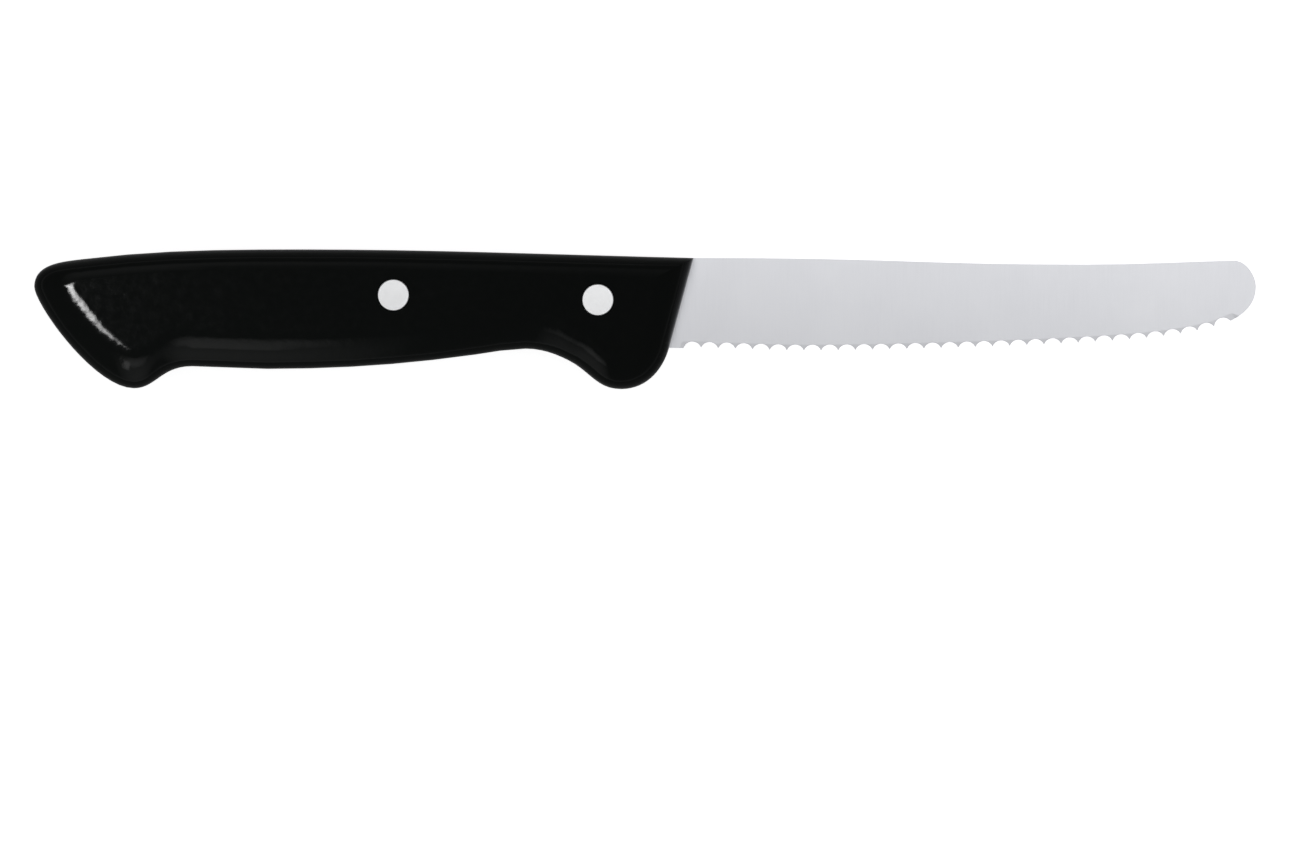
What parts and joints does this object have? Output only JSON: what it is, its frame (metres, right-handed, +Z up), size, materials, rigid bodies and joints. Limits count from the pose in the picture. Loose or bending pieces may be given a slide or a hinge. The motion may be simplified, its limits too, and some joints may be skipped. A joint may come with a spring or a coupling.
{
  "type": "serrated utility knife",
  "caption": "Round-tipped kitchen knife with a scalloped serrated edge, full tang, riveted black scales, a finger guard and a hooked butt.",
  "frame": {"origin": "middle of the footprint of the knife lying on its side, on the surface that it lies on", "axes": "+X along the blade towards the tip, +Y from the cutting edge towards the spine, +Z up through the thickness"},
  "size_m": [0.23, 0.0264, 0.0133],
  "materials": {
    "blade_steel": "satin, finely ground across the blade from spine to edge",
    "handle_plastic": "satin black moulded plastic",
    "rivet_metal": "ground flush with the scales"
  },
  "bodies": {
    "root": {"blade_and_tang": "blade_steel", "upper_handle_scale": "handle_plastic", "lower_handle_scale": "handle_plastic", "front_rivet_barrel": "rivet_metal", "front_rivet_stud": "rivet_metal", "rear_rivet_barrel": "rivet_metal", "rear_rivet_stud": "rivet_metal"}
  },
  "joints": []
}
